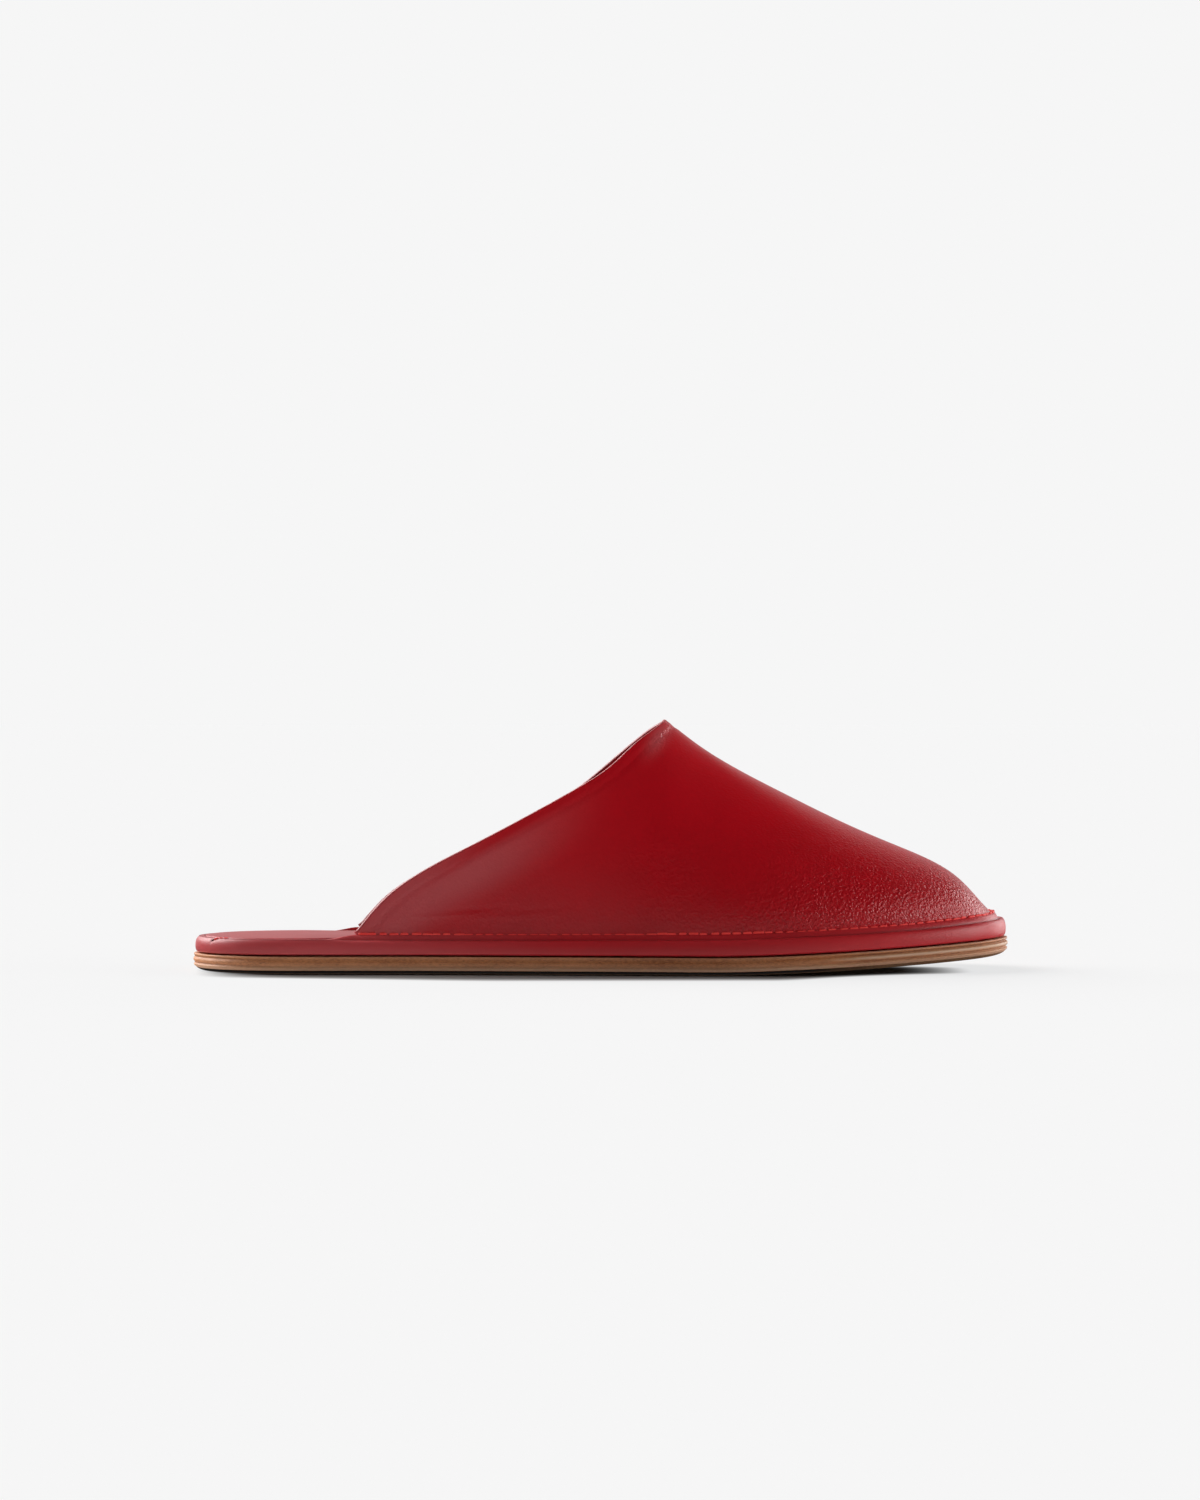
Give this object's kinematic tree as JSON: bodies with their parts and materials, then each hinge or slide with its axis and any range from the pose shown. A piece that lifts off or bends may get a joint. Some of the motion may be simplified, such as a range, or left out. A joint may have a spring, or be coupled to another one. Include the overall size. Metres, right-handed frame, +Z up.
{
  "type": "babouche slipper",
  "caption": "Backless leather slipper with a high pointed vamp, a wrapped platform with a rolled edge, and a thin flat leather sole with a slight toe spring.",
  "frame": {"origin": "on the floor under the middle of the slipper's bounding box", "axes": "+X from heel to toe, +Y towards the inner side of the right foot, +Z up"},
  "size_m": [0.261, 0.0892, 0.08],
  "materials": {
    "sole_leather": "burnished brown edge",
    "wrap_leather": "smooth red, semi-matt",
    "sock_leather": "smooth red, semi-matt",
    "upper_leather": "soft red with a fine pebble grain"
  },
  "bodies": {
    "root": {"outsole": "sole_leather", "platform": "wrap_leather", "sock": "sock_leather", "upper": "upper_leather"}
  },
  "joints": []
}
